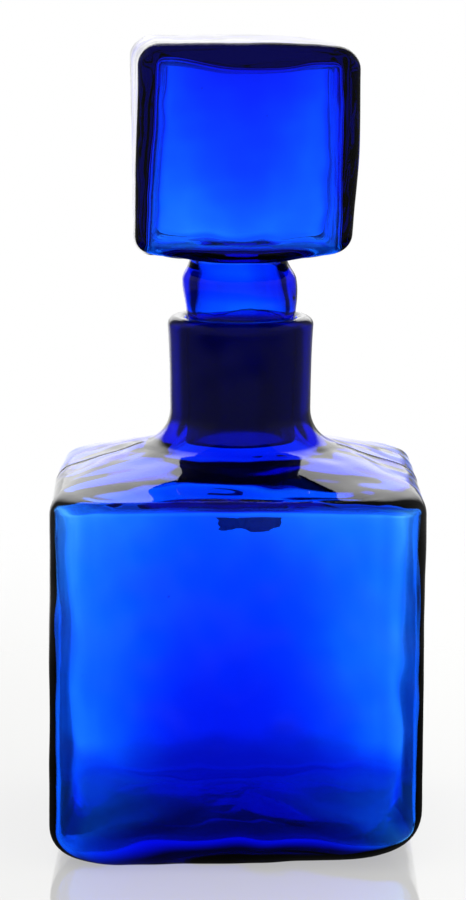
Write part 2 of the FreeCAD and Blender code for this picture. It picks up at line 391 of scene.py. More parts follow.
def bottlePoints(form):
    # rows from the middle of the base up the outside, over the lip and down the inside to the floor
    high = nodeBox("bottle")[1]
    half, lip = high[0] + form["skinAllowance"], high[2]
    corner = form["cornerRadius"]
    spots = evenSpots(4, quarter / 2, *form["cornerColumns"])
    spots = spots + evenSpots(2, 0, *form["seamColumns"])
    angle = columnAngles(form["columns"], spots)[None, :]
    cornered = nearCorner(angle)
    profile = Profile(angle)
    add, arc = profile.add, profile.arc
    edgeHeight, lipRadius, mouthRadius = form["edgeHeight"], form["lipRadius"], form["mouthRadius"]
    boreRadius, boreEnd = form["boreRadius"], form["boreEnd"]

    def roofCorner(widest, least, root, here, power):
        # corner radius on the way in to a round root: the straight run of each side shrinks with
        # the share of the way that is left, to a power
        left = np.clip((here - root) / (widest - root), 0, 1)
        return here - (widest - least) * left ** power

    # push-up under the base: a shallow dome with a ring-shaped scar, then a flat ring to the foot
    push = form["pushWidth"] / 2
    firstRing, closeStart, closeEnd, nextRing = form["pushRings"]
    closeRings = np.linspace(closeStart, closeEnd, 22)
    here = np.concatenate([[firstRing], closeRings, np.linspace(nextRing, push, 5)[:-1]])[:, None]
    level = form["pushDepth"] * (1 - (here / push) ** 2) ** 2
    east = here * np.cos(angle) - form["scarPlace"][0]
    north = here * np.sin(angle) - form["scarPlace"][1]
    bearing = np.arctan2(north, east)
    lobes = (share * np.sin(count * bearing + start) for count, share, start in form["scarLobes"])
    scar = form["scarRadius"] * sum(lobes, 1)
    level = level - form["scarHeight"] * bell(np.hypot(east, north) - scar, form["scarWidth"])
    add("foot", here, here, level)
    frontRight = bell(turn(angle, -quarter / 2), form["frontRightWidth"])
    foot = form["footRadius"] + form["frontRightFoot"] * frontRight
    ringHalf, ringCorner = half - foot, form["ringCorner"]
    share = rows(9)
    add("foot", push + share * (ringHalf - push), push + share * (ringCorner - push), 0.0)
    # foot: a quarter round from the ring up to the wall
    tilt = rows(15) * quarter
    footCorner = ringCorner + (corner - ringCorner) * np.sin(tilt)
    add("outside", half - foot * (1 - np.sin(tilt)), footCorner, foot * (1 - np.cos(tilt)))
    # wall up to the shoulder's edge
    slope = form["shoulderSlope"]
    pitch = math.atan(slope)
    bend = quarter - pitch
    edge = edgeHeight - form["edgeDrop"] * cornered ** 3
    onSide = ease(np.abs(np.cos(angle)), *form["sideSpan"])
    edgeRadius = form["edgeRadius"] + form["sideEdgeRadius"] * onSide
    edgeStart = edge - edgeRadius * math.tan(bend / 2)
    add("outside", half, corner, foot + rows(44) * (edgeStart - foot))
    # rounded edge between the wall and the shoulder
    neck, flare = form["neckRadius"], form["neckFlare"]
    rootHalf = neck + flare * (1 - math.sin(pitch))
    tilt = rows(10) * bend
    edgeHalf = half - edgeRadius * (1 - np.cos(tilt))
    edgeCorner = roofCorner(half, corner, rootHalf, edgeHalf, form["hipPower"])
    add("outside", edgeHalf, edgeCorner, edgeStart + edgeRadius * np.sin(tilt))
    # shoulder: four sloping roofs that turn into the round root of the neck
    roofHalf = half - edgeRadius * (1 - math.sin(pitch))
    here = roofHalf + rows(36) * (rootHalf - roofHalf)
    toRoot = (half - here) / (half - rootHalf)
    edgeThere = edgeHeight + (edge - edgeHeight) * (1 - toRoot)
    roundness = roofCorner(half, corner, rootHalf, here, form["hipPower"])
    add("shoulder", here, roundness, edgeThere + slope * (half - here))
    # flare: a hollow arc from the shoulder up into the neck
    rootHeight = edgeHeight + slope * (half - rootHalf)
    flareHeight = rootHeight + flare * math.cos(pitch)
    arc("neck", 9, neck + flare, flareHeight, flare, 3 * quarter - pitch, -bend)
    # neck: swells a little towards the lip
    lipStart = lip - lipRadius
    share = rows(18)
    here = neck + form["lipSwell"] * share ** 2
    add("neck", here, here, flareHeight + share * (lipStart - flareHeight))
    # lip and mouth: two rounds with a narrow land between them
    lipHalf = neck + form["lipSwell"]
    arc("neck", 10, lipHalf - lipRadius, lipStart, lipRadius, 0, quarter)
    mouthHalf = boreRadius + mouthRadius
    here = lipHalf - lipRadius + rows(3) * (mouthHalf - lipHalf + lipRadius)
    add("fitted", here, here, lip)
    arc("fitted", 7, mouthHalf, lip - mouthRadius, mouthRadius, quarter, quarter)
    # bore: narrows evenly down to the throat
    throat = form["throatRadius"]
    innerPitch = math.atan(form["innerSlope"])
    throatHalf = boreEnd + throat * (1 - math.sin(innerPitch))

    def innerRoof(here):
        # level of the shoulder's inside: nearly as steep as the outside, and flatter in the collar,
        # with the logarithm of 1 + e^x as the soft bend between the two slopes
        blend = form["collarBlend"]
        sideways = np.cos(angle) * here
        inFront = 1 - ease(np.abs(sideways), *form["collarSpan"])
        collar = form["collarHalf"] + form["collarFront"] * inFront
        within = blend * np.log1p(np.exp((collar - here) / blend))
        toRight = ease(sideways, *form["innerRoofSpan"])
        roofSlope = form["innerRoofSlope"] - form["innerRoofFall"] * toRight
        level = edgeHeight - form["shoulderWall"] + roofSlope * (half - here)
        return level - (roofSlope - form["innerSlope"]) * within

    innerRoot = innerRoof(throatHalf)
    throatHeight = innerRoot + throat * math.cos(innerPitch)
    boreTop = lip - mouthRadius
    share = rows(12)
    here = boreRadius + share * (boreEnd - boreRadius)
    add("fitted", here, here, boreTop + share * (throatHeight - boreTop))
    arc("fitted", 7, boreEnd + throat, throatHeight, throat, 2 * quarter, quarter - innerPitch)

    def wall(height):
        # thicker low down and at the middle of a face, thin at the corners and close to the top
        middle = form["midWall"] + form["wallGain"] * (form["midLevel"] - height)
        middle = middle - form["topThinning"] * ease(height, *form["topSpan"])
        highUp = ease(height, *form["cornerTopSpan"])
        atCorner = form["cornerWall"] - form["cornerTopThinning"] * highUp
        atCorner = atCorner - form["rightThinning"] * ease(np.cos(angle), *form["rightSpan"])
        return middle + (atCorner - middle) * cornered ** form["cornerPower"]

    # inside of the shoulder, down to the inner edge
    innerTop = edgeHeight - form["shoulderWall"]
    innerHalf = half - wall(innerTop)
    innerCorner = form["hollowCorner"]
    rise = form["innerEdgeRadius"]
    innerEdge = innerRoof(innerHalf) + edge - edgeHeight
    innerStart = innerEdge - rise * math.tan(bend / 2)
    innerRoofHalf = innerHalf - rise * (1 - math.sin(pitch))
    here = throatHalf + rows(18) * (innerRoofHalf - throatHalf)
    toEdge = (here - throatHalf) / (innerRoofHalf - throatHalf)
    level = innerRoof(here) + toEdge * (edge - edgeHeight)
    innerPower = form["innerHipPower"]
    add("inside", here, roofCorner(innerHalf, innerCorner, throatHalf, here, innerPower), level)
    tilt = bend - rows(9) * bend
    here = innerHalf - rise * (1 - np.cos(tilt))
    roundness = roofCorner(innerHalf, innerCorner, throatHalf, here, innerPower)
    add("inside", here, roundness, innerStart + rise * np.sin(tilt))
    # inner wall down to the floor's edge
    lobes = bell(turn(angle, -quarter - form["lobePlace"]), form["lobeWidth"])
    lobes = lobes + bell(turn(angle, -quarter + form["lobePlace"]), form["lobeWidth"])
    heel = form["floorRadius"] + form["heelLobe"] * lobes
    heel = heel + form["heelMiddle"] * bell(turn(angle, -quarter), form["heelMiddleWidth"])
    frontLeft = bell(turn(angle, -3 * quarter / 2), form["floorThinWidth"])
    floorEdge = form["floorHeight"] - form["floorThinning"] * frontLeft
    floorStart = floorEdge + heel
    height = innerStart + rows(38) * (floorStart - innerStart)
    add("inside", half - wall(height), innerCorner, height)
    # rounded edge of the floor, then the floor, a little higher in the middle
    rim = half - wall(floorStart) - heel
    arc("inside", 11, rim, floorStart, heel, 0, -quarter, innerCorner)
    share = 1 - rows(15)
    here = share * rim
    floorCorner = here * (innerCorner / rim + (1 - innerCorner / rim) * (1 - share))
    level = form["floorHeight"] + (floorEdge - form["floorHeight"]) * share
    add("inside", here, floorCorner, level + form["floorDome"] * (1 - share ** 2) ** 2)

    halves, heights, points, kinds = profile.whole()
    outside = unevenness(points, form["outsideWaves"])
    # shoulder ripples run level round the bottle, so they change fast down the slope only
    ring = form["rippleRing"]
    ring = [np.cos(angle) * ring, np.sin(angle) * ring, halves * form["rippleStretch"]]
    ripples = unevenness(np.stack(np.broadcast_arrays(*ring), 2), form["rippleWaves"])
    inside = unevenness(points, form["insideWaves"])
    patches = unevenness(points * form["patchStretch"], form["patchWaves"])
    underRoof = ease(heights, *form["patchHeights"]) * ease(halves, *form["patchStart"])
    underRoof = underRoof * (1 - ease(halves, *form["patchEnd"]))
    inside = inside + patches * underRoof
    seam = bell(points[..., 1], form["seamWidth"]) * ease(halves, *form["seamSpan"], base=neck)
    seam = seam * ease(heights, *form["seamRise"], base=edgeHeight)
    shift = np.where(kinds == "outside", outside, 0.0)
    underFoot = form["footShare"] * outside * ease(halves, *form["footSpan"])
    shift = np.where(kinds == "foot", underFoot, shift)
    shift = np.where(kinds == "shoulder", outside + ripples, shift)
    shift = np.where(kinds == "neck", form["neckShare"] * outside, shift)
    seamed = (kinds == "outside") | (kinds == "shoulder")
    shift = np.where(seamed, shift + form["seamHeight"] * seam, shift)
    shift = np.where(kinds == "inside", inside * ease(halves, *form["roofSpan"], base=neck), shift)
    onFloor = (kinds == "inside") & (heights < form["floorTop"])
    shift = np.where(onFloor, inside * ease(halves, *form["floorSpan"]), shift)
    points = alongNormals(points, shift)
    points[..., 2] = np.maximum(points[..., 2], 0)
    reach = np.hypot(points[..., 0], points[..., 1])
    inward = 1 - ease(reach, neck + form["shiftInner"], half - form["shiftOuter"])
    inward = inward * ease(heights, *form["shiftRise"], base=edgeHeight)
    points[..., 0] += form["neckShift"] * inward
    return leaned(points, form)


bottle = closedSkin("bottle_glass_body", bottlePoints(bottleForm))
print("bottle:", len(bottle.data.polygons), "faces")


# the stopper

stopperForm = dict(
    columns=320,
    cornerColumns=(9.0, 2.0),  # columns stand closer at the corners: degrees, gain
    topAllowance=0.15,  # how far the even top stays below the uneven skin
    headHalf=31.8,
    headBase=173.4,
    cornerRadius=4.5,
    topRadius=7.0,  # of the edges that run from front to back
    underRadius=6.0,
    frontEdge=2.8,  # of the edges round the front and the back
    frontSpan=(0.62, 0.80),  # where the front and the back begin, by the sine
    underLift=2.4,  # how far the underside rises to its corners
    topDip=1.5,  # how far the top sinks to the right
    dipSpan=(6, 32),
    dipRise=(-20, -4),  # from the top
    turned=math.radians(2.3),  # the head stands a little askew on the bottle
    twisted=math.radians(1.9),  # and more so towards its top
    twistStart=6.0,  # above the head's base
    twistEnd=4.0,  # below its top
    headShift=0.1,
    headSpan=(-2, 2),  # where the head begins, from its base
    pegBend=0.9,  # how far the peg leans to the left below the head
    bendStart=2.0,  # above the lip
    bendEnd=2.0,  # below the head
    rightTuck=1.8,  # how far the head's right side draws in at the bottom
    tuckStart=24.0,  # below the top
    tuckDepth=38.0,
    tuckSpan=(4, 26),
    tuckRise=(-2, 1),  # from the head's base
    pegTop=16.2,
    pegEnd=15.6,
    pegWall=2.9,
    swell=0.8,
    swellHeight=9.0,  # above the lip
    swellWidth=5.5,
    swellSpan=(0, 4),
    waist=14.4,
    waistStart=11.0,  # above the lip
    waistFillet=1.8,
    boreWaist=11.6,
    boreFillet=3.0,
    boreSwell=0.8,
    boreSwellHeight=4.0,  # above the lip
    boreSwellWidth=6.0,
    ceiling=7.0,  # glass above the hollow at the middle of a face
    ceilingLift=2.6,  # how much thinner that is at the corners
    floor=3.0,
    hollowTopRadius=2.2,
    hollowFloorRadius=2.4,
    hollowCorner=2.2,
    backRounding=2.0,  # how much rounder the hollow's back corners are
    backCorners=(0.1, 0.6),  # where they begin, by the sine
    frontTop=5.0,
    frontBottom=2.6,
    frontThinning=0.25,  # share that the front and back walls lose at their sides
    frontPower=1.5,
    sideTop=6.0,
    sideBottom=3.6,
    backThinning=0.5,  # share that the right wall loses towards the back
    backSpan=(-0.5, 0.6),  # from where to where, by the sine
    backRise=(0.06, 0.3),  # and by the share of the head's height
    outsideWaves=((41, 0.17, 18, 60), (42, 0.03, 6, 12)),
    insideWaves=((51, 0.22, 16, 50), (52, 0.06, 6, 14)),
    waveRise=(0, 4),  # waves begin here, from the head's base
    waveSpan=(0, 14),  # and here, from the axis
    pegShare=0.8,  # share of the outside's waves on the peg
    pegRise=(1, 6),  # above the lip only
)


def stopperPoints(form):
    # rows from the hollow's ceiling down its inside, round the peg's end and up the outside
    low, high = nodeBox("stopper")
    lip = nodeBox("bottle")[1][2]
    top, end = high[2] - form["topAllowance"], low[2]
    half, corner, base = form["headHalf"], form["cornerRadius"], form["headBase"]
    spots = evenSpots(4, quarter / 2, *form["cornerColumns"])
    angle = columnAngles(form["columns"], spots)[None, :]
    cornered = nearCorner(angle)
    profile = Profile(angle)
    add, arc = profile.add, profile.arc
    pegTop, waist, waistFillet = form["pegTop"], form["waist"], form["waistFillet"]
    frontness = ease(np.abs(np.sin(angle)), *form["frontSpan"])

    def wall(height):
        # all walls thicken upwards; the right one is thinner at the back, and the front and back
        # ones thin out sideways
        upward = np.clip((height - base) / (top - base), 0, 1)
        side = form["sideBottom"] + (form["sideTop"] - form["sideBottom"]) * upward
        backRight = ease(np.sin(angle), *form["backSpan"]) * (np.cos(angle) > 0)
        backRight = backRight * ease(upward, *form["backRise"])
        side = side * (1 - form["backThinning"] * backRight)
        front = form["frontBottom"] + (form["frontTop"] - form["frontBottom"]) * upward
        front = front * (1 - form["frontThinning"] * cornered ** form["frontPower"])
        return side + frontness * (front - side)

    # ceiling of the hollow, lower at the middle of each face, then its rounded edge
    rise = form["hollowTopRadius"]
    inBack = ease(np.sin(angle), *form["backCorners"])
    inCorner = form["hollowCorner"] + form["backRounding"] * inBack
    ceiling = top - form["ceiling"]
    level = ceiling + form["ceilingLift"] * cornered ** 2
    rim = half - wall(level - rise) - rise
    share = rows(14)[1:]
    here = share * rim
    roundness = here * (1 - share * (1 - inCorner / rim))
    add("inside", here, roundness, ceiling + (level - ceiling) * share ** 2)
    arc("inside", 10, rim, level - rise, rise, quarter, -quarter, inCorner)
    # inner walls down to the hollow's floor
    dip = form["hollowFloorRadius"]
    floor = base + form["floor"]
    height = level - rise + rows(40) * (floor + dip - level + rise)
    add("inside", half - wall(height), inCorner, height)
    start = half - wall(floor + dip) - dip
    arc("inside", 9, start, floor + dip, dip, 0, -quarter, inCorner)
    # floor of the hollow runs in to the round bore of the peg
    bore, fillet = form["boreWaist"], form["boreFillet"]
    share = rows(12)
    here = start + share * (bore + fillet - start)
    add("inside", here, inCorner + share * (bore + fillet - inCorner), floor)
    arc("peg", 6, bore + fillet, floor - fillet, fillet, quarter, quarter)
    # bore down to the rim, which is a half round
    pegEnd = form["pegEnd"]
    rimRadius = form["pegWall"] / 2
    boreEnd = pegEnd - form["pegWall"]
    share = rows(26)
    height = floor - fillet + share * (end + rimRadius - floor + fillet)
    here = boreEnd + (bore - boreEnd) * ease(height, lip + form["boreSwellHeight"], floor - fillet)
    swollen = bell(height - lip - form["boreSwellHeight"], form["boreSwellWidth"])
    here = here + form["boreSwell"] * swollen
    add("peg", here, here, height)
    arc("fitted", 10, pegEnd - rimRadius, end + rimRadius, rimRadius, 2 * quarter, 2 * quarter)
    # peg: widens evenly up to the lip, then swells and draws in to the waist
    share = rows(20)
    here = pegEnd + share * (pegTop - pegEnd)
    add("fitted", here, here, end + rimRadius + share * (lip - end - rimRadius))
    waistTop = base - waistFillet
    height = lip + rows(22) * (waistTop - lip)
    above = height - lip
    narrowed = ease(above, form["waistStart"], waistTop - lip)
    here = pegTop + (waist - pegTop) * narrowed
    swollen = form["swell"] * bell(above - form["swellHeight"], form["swellWidth"])
    here = here + swollen * ease(above, *form["swellSpan"])
    add("peg", here, here, height)
    start = waist + waistFillet
    arc("peg", 7, start, waistTop, waistFillet, 2 * quarter, -quarter)
    # underside of the head, its lower edge, the sides, the upper edge and the top
    frontEdge = form["frontEdge"]
    under = form["underRadius"] + frontness * (frontEdge - form["underRadius"])
    lifted = base + form["underLift"] * cornered ** 2
    share = rows(12)
    here = start + share * (half - under - start)
    add("head", here, start + share * (corner - start), base + (lifted - base) * share ** 2)
    arc("head", 11, half - under, lifted + under, under, -quarter, quarter, corner)
    upper = form["topRadius"] + frontness * (frontEdge - form["topRadius"])
    add("head", half, corner, lifted + under + rows(40) * (top - upper - lifted - under))
    rim = half - upper
    arc("head", 11, rim, top - upper, upper, 0, quarter, corner)
    share = 1 - rows(13)
    here = share * rim
    add("head", here, here * (1 - share * (1 - corner / rim)), top)

    halves, heights, points, kinds = profile.whole()
    outside = unevenness(points, form["outsideWaves"])
    inside = unevenness(points, form["insideWaves"])
    inHead = ease(heights, *form["waveRise"], base=base) * ease(halves, *form["waveSpan"])
    shift = np.where(kinds == "head", outside * inHead, 0.0)
    shift = np.where(kinds == "inside", inside * inHead, shift)
    bare = ease(heights, *form["pegRise"], base=lip)
    shift = np.where(kinds == "peg", outside * form["pegShare"] * bare, shift)
    points = alongNormals(points, shift)
    # the right side of the head draws in towards the bottom, most at the very bottom
    drawn = np.clip((top - form["tuckStart"] - points[..., 2]) / form["tuckDepth"], 0, 1) ** 2
    drawn = drawn * ease(heights, *form["tuckRise"], base=base)
    points[..., 0] -= form["rightTuck"] * drawn * ease(points[..., 0], *form["tuckSpan"])
    # its top sinks to the right, and it twists on the way up
    dipped = ease(points[..., 0], *form["dipSpan"]) * ease(heights, *form["dipRise"], base=top)
    points[..., 2] = np.minimum(points[..., 2], high[2]) - form["topDip"] * dipped
    upward = ease(heights, base + form["twistStart"], top - form["twistEnd"])
    askew = form["turned"] + form["twisted"] * upward
    cosTurn, sinTurn = np.cos(askew), np.sin(askew)
    east, north = points[..., 0].copy(), points[..., 1].copy()
    points[..., 0] = east * cosTurn - north * sinTurn
    points[..., 1] = east * sinTurn + north * cosTurn
    # the peg leans a little, and all of it stands where the neck does
    inHead = ease(heights, *form["headSpan"], base=base)
    bent = form["pegBend"] * ease(heights, lip + form["bendStart"], base - form["bendEnd"])
    points[..., 0] -= bent * (1 - inHead)
    points[..., 0] += bottleForm["neckShift"] + form["headShift"] * inHead
    return leaned(points, bottleForm)


stopper = closedSkin("stopper_glass_cube", stopperPoints(stopperForm))
print("stopper:", len(stopper.data.polygons), "faces")


# the label on the back wall

labelForm = dict(
    columns=73,
    rowCount=33,
    cornerRadius=1.2,
    thickness=0.2,
    glue=0.03,  # under the paper
    fray=0.16,  # how far the cut edge wanders
    endFray=(9.0, 1.7),  # waves up the two ends, and how far they are out of step
    edgeFray=(14.0, 5.0),  # waves along the upper and the lower edge
    tornLeft=0.3,  # torn off at the left end
    torn=0.62,  # share of the lower half that is torn off, but for one flap
    flapPlace=0.36,  # of the half width, to the right
    flapWidth=0.36,
)


def labelPiece(form):
    # a rounded rectangle on a grid: each level line is shortened where it crosses the corners
    low, high = nodeBox("label")
    centre, half = (low + high) / 2, (high - low) / 2
    sideways = np.linspace(-1, 1, form["columns"])[None, :]
    upward = np.linspace(-1, 1, form["rowCount"])[:, None]
    corner = form["cornerRadius"]
    over = np.maximum(np.abs(upward) * half[2] - (half[2] - corner), 0)
    reach = half[0] - corner + np.sqrt(np.maximum(corner ** 2 - over ** 2, 0))
    beat, step = form["endFray"]
    x = sideways * (reach - form["fray"] * (1 + np.sin(upward * beat + step * np.sign(sideways))))
    flap = bell(sideways - form["flapPlace"], form["flapWidth"])
    lost = form["torn"] * (1 - flap) * (1 - upward) / 2
    quick, slow = form["edgeFray"]
    frayed = form["fray"] * (1 + np.sin(sideways * quick) * np.cos(sideways * slow))
    z = upward * (half[2] - frayed) + lost * half[2]
    x = x * (1 - form["tornLeft"] / (2 * half[0])) + form["tornLeft"] / 2
    x, z = x + centre[0], z + centre[2]
    # laid on the uneven outside of the back wall
    wallY = nodeBox("bottle")[1][1] + bottleForm["skinAllowance"]
    points = np.stack([x, wallY + 0 * x, z], 2)
    points[..., 1] += unevenness(points, bottleForm["outsideWaves"]) + form["glue"]
    points = leaned(points, bottleForm)
    grid = np.arange(x.size).reshape(x.shape)
    quads = np.stack([grid[:-1, :-1], grid[1:, :-1], grid[1:, 1:], grid[:-1, 1:]], 2)
    piece = newPiece("back_label", points.reshape(-1, 3) * mm, quads.reshape(-1, 4).tolist())
    paper = piece.modifiers.new("paper", "SOLIDIFY")
    paper.thickness = form["thickness"] * mm
    paper.offset = 1.0
    return piece


label = labelPiece(labelForm)
print("label:", len(label.data.polygons), "faces")


# materials; their lengths are in metres

glassLook = dict(
    absorption=1190.0,  # per metre, for the colour that is lost most
    passed=rgba(0.0, 0.601, 0.958),  # 1 - share of that absorption for red, green, blue
    ior=1.5,
    clearTint=rgba(0.93, 0.96, 1.0),
    cordTint=rgba(0.84, 0.90, 1.0),
    cordScale=60.0,
    cordStretch=(1.0, 1.0, 0.28),  # drawn out upwards
    cordSpan=(0.42, 0.7),
    seedTint=rgba(0.22, 0.28, 0.5),  # tiny bubbles caught at the surface
    seedScale=85.0,
    seedSpan=(0.014, 0.032),
    smudgeScale=38.0,
    smudgeSpan=(0.5, 0.75),
    smudgeRoughness=0.035,
    gritScale=1900.0,  # grain of the ground places
    gritRoughness=0.1,
    gritHeight=0.6,
    # near-black matt for the ground places: painted shade
    mattShadeTint=rgba(0.02, 0.025, 0.1),
    rimShadeTint=rgba(0.05, 0.06, 0.12),  # dark line where the grinding ends, at the lip: painted shade
    bumpStrength=0.06,
    bumpDistance=0.0006,
)


def glassMaterial(name, groundMask, groundLook):
    # cobalt glass: the colour is in its thickness, and the surface has cords, seeds, smudges and
    # fine waves; the mask gives the ground place, its painted shade of a near-black matt and a dark
    # line at its end
    look = glassLook
    material, bench = newMaterial(name)
    place = bench.node("TexCoord", {}, {}, "Object")
    east, north, up = bench.axes(place)
    cords = bench.noise(place, look["cordScale"], 3.0, look["cordStretch"])
    smudge = bench.noise(place, look["smudgeScale"], 4.0)
    grit = bench.noise(place, look["gritScale"], 2.0)
    ground, groundRimShade, groundMattShade = groundMask(groundLook, fromAxis(east, north), up, cords)
    tint = bench.mixColour(cords.between(*look["cordSpan"]), look["clearTint"], look["cordTint"])
    sockets = {"Vector": place, "Scale": look["seedScale"]}
    seed = bench.node("TexVoronoi", {}, sockets, "Distance")
    tint = bench.mixColour(1 - seed.between(*look["seedSpan"]), tint, look["seedTint"])
    tint = bench.mixColour(ground, tint, groundLook["tint"])
    tint = bench.mixColour(groundRimShade, tint, look["rimShadeTint"])
    smudged = smudge.between(*look["smudgeSpan"]) * look["smudgeRoughness"]
    rough = ground * (groundLook["roughness"] + look["gritRoughness"] * grit)
    bump = bench.node("Bump", {}, {
        "Strength": look["bumpStrength"], "Distance": look["bumpDistance"],
        "Height": cords + ground * grit * look["gritHeight"],
    })
    surface = bench.node("BsdfPrincipled", {}, {
        "Base Color": tint, "Roughness": smudged + rough, "Normal": bump,
        "IOR": look["ior"], "Transmission Weight": 1.0,
    })
    # near-black matt mixed into the ground places: painted shade
    matt = bench.node("BsdfDiffuse", {}, {"Color": look["mattShadeTint"]})
    surface = bench.mixShader(groundMattShade, surface, matt)
    depth = bench.node("VolumeAbsorption", {}, {
        "Color": look["passed"], "Density": look["absorption"],
    })
    bench.node("OutputMaterial", {}, {"Surface": surface, "Volume": depth})
    return material


boreLook = dict(
    tint=rgba(0.5, 0.52, 0.56),
    roughness=0.1,
    matt=0.75,  # share of the ground bore painted near-black matt, as shade
    reach=0.0186,  # it lies within this distance from the axis
    lowEnd=(0.121, 0.124),
    highEnd=(0.151, 0.154),
)


def groundBore(look, reach, up, cords):
    # the ground inside of the neck, partly painted near-black matt as shade, with no line at its
    # ends
    inBore = reach.math("LESS_THAN", reach, look["reach"])
    ground = inBore * up.between(*look["lowEnd"]) * (1 - up.between(*look["highEnd"]))
    return ground, 0.0, ground * look["matt"]


pegLook = dict(
    tint=rgba(0.8, 0.82, 0.86),
    roughness=0.05,
    endMatt=0.65,  # share of the peg's end painted near-black matt, as shade
    endSpan=(0.122, 0.15),
    reach=(0.0140, 0.0146),  # the outside lies beyond this distance from the axis
    wander=0.009,  # how far the cords move the line up and down
    highEnd=(0.1588, 0.1592),
    rimStart=(0.1584, 0.1587),
    rimEnd=(0.159, 0.1593),
    # the dark line round the peg at the lip is painted shade: a dark tint, then a near-black matt
    rimShare=0.9,
    rimMatt=0.7,
)


def groundPeg(look, reach, up, cords):
    # the ground outside of the peg, ending in an uneven line close to the lip; that dark line and
    # the near-black matt, most at the peg's end, are painted shade
    line = up + cords * look["wander"]
    onPeg = reach.between(*look["reach"])
    ground = onPeg * (1 - line.between(*look["highEnd"]))
    rim = onPeg * line.between(*look["rimStart"]) * (1 - line.between(*look["rimEnd"]))
    # the peg's lower end, deep in the neck, is painted darker as shade
    endShade = look["endMatt"] * (1 - up.between(*look["endSpan"]))
    return ground, rim * look["rimShare"], ground * endShade + rim * look["rimMatt"]


paperLook = dict(
    cream=rgba(0.66, 0.60, 0.47),
    mottleTint=rgba(0.50, 0.43, 0.31),
    mottleScale=420.0,
    mottleSpan=(0.35, 0.7),
    fibreTint=rgba(0.40, 0.33, 0.22),
    fibreScale=2600.0,
    fibreStretch=(1.0, 1.0, 0.2),
    fibreSpan=(0.6, 0.75),
    fibreShare=0.5,
    roughness=0.82,
    mottleRoughness=0.1,
    bumpStrength=0.5,
    bumpDistance=0.00005,
)


def paperMaterial(look):
    # plain aged paper: cream, mottled, fibrous and a little rubbed
    material, bench = newMaterial("label_paper")
    place = bench.node("TexCoord", {}, {}, "Object")
    mottle = bench.noise(place, look["mottleScale"], 4.0)
    fibre = bench.noise(place, look["fibreScale"], 2.0, look["fibreStretch"])
    mottled = mottle.between(*look["mottleSpan"])
    cream = bench.mixColour(mottled, look["cream"], look["mottleTint"])
    fibrous = fibre.between(*look["fibreSpan"]) * look["fibreShare"]
    cream = bench.mixColour(fibrous, cream, look["fibreTint"])
    bump = bench.node("Bump", {}, {
        "Strength": look["bumpStrength"], "Distance": look["bumpDistance"], "Height": fibre,
    })
    roughness = look["roughness"] + look["mottleRoughness"] * mottle
    surface = bench.node("BsdfPrincipled", {}, {
        "Base Color": cream, "Roughness": roughness, "Normal": bump,
    })
    bench.node("OutputMaterial", {}, {"Surface": surface})
    return material


bottle.data.materials.append(glassMaterial("cobalt_glass_bottle", groundBore, boreLook))
stopper.data.materials.append(glassMaterial("cobalt_glass_stopper", groundPeg, pegLook))
label.data.materials.append(paperMaterial(paperLook))
print("materials done")


# light, floor and camera

skyLook = dict(
    plain=0.95,  # light on paper and floor
    through=1.7,  # light that glass passes on
    throughLoss=0.7,  # share of it that is missing high up
    throughHigh=(0.45, 0.8),
    flag=0.08,  # share of it left by the dark flags between the four sides
    flagNorth=(0.74, 0.86),  # edges of the flags, by the cosine with the y axis
    flagEast=(0.94, 0.97),  # and with the x axis
    mirrored=1.1,  # light that glass mirrors from the backdrop
    low=1.75,  # from low above it
    lowSpan=(0.05, 0.13),
    high=0.95,  # and from straight above
    highSpan=(0.75, 0.95),
    front=0.02,  # the dark rest of the studio, low down
    frontGain=0.08,  # and how much lighter it is further up
    frontSpan=(-0.25, -0.17),
    backdropSide=(0.82, 0.96),  # edges of the backdrop
    backdropFoot=(-0.24, -0.18),
    backdropLoss=0.85,  # share of it that is missing on the right
    backdropRight=(0.04, 0.2),
    behindSide=(0.86, 0.96),  # edges of the light above the backdrop
    aboveFoot=(0.0, 0.12),
    beside=0.04,  # share of that light on the left and the right
    besideSpan=(0.3, 0.6),
)


def flagged(east, north, kept):
    # dark flags stand between the four sides: full light within 31 degrees of the y axis and
    # within 14 of the x axis, by the cosines of a direction with them
    reach = fromAxis(east, north)
    alongY = ((north * north) ** 0.5 / reach).between(*skyLook["flagNorth"])
    alongX = ((east * east) ** 0.5 / reach).between(*skyLook["flagEast"])
    return kept + (1 - kept) * (alongY + alongX)


def studioWorld(look):
    # white to the camera and plain white light; glass passes on the light between the flags, and
    # mirrors the backdrop and the light above it, while the rest of the studio is dark
    world = bpy.data.worlds.new("studio")
    world.use_nodes = True
    scene.world = world
    bench = Bench(world.node_tree)
    camera, glossy, passed = bench.rays("Is Camera Ray", "Is Glossy Ray", "Is Transmission Ray")
    east, north, up = bench.axes(bench.node("TexCoord", {}, {}, "Generated"))
    backdrop = north.between(*look["backdropSide"]) * up.between(*look["backdropFoot"])
    backdrop = backdrop * (1 - look["backdropLoss"] * east.between(*look["backdropRight"]))
    behind = (north / fromAxis(east, north)).between(*look["behindSide"])
    beside = look["beside"] * (east * east).between(*look["besideSpan"])
    above = up.between(*look["aboveFoot"]) * (behind + beside - behind * beside)
    bright = 1 - (1 - backdrop) * (1 - above)
    lowLight = up.between(*look["lowSpan"]) * (look["low"] - look["mirrored"])
    highLight = up.between(*look["highSpan"]) * (look["high"] - look["low"])
    backLight = look["mirrored"] + lowLight + highLight
    front = look["front"] + look["frontGain"] * up.between(*look["frontSpan"])
    mirrored = front + bright * (backLight - front)
    through = look["through"] * flagged(east, north, look["flag"])
    through = through * (1 - look["throughLoss"] * up.between(*look["throughHigh"]))
    level = look["plain"] + glossy * (mirrored - look["plain"])
    level = level + passed * (through - level)
    level = level + camera * (1 - level)
    sky = bench.node("Background", {}, {"Color": rgba(1, 1, 1), "Strength": level})
    bench.node("OutputWorld", {}, {"Surface": sky})


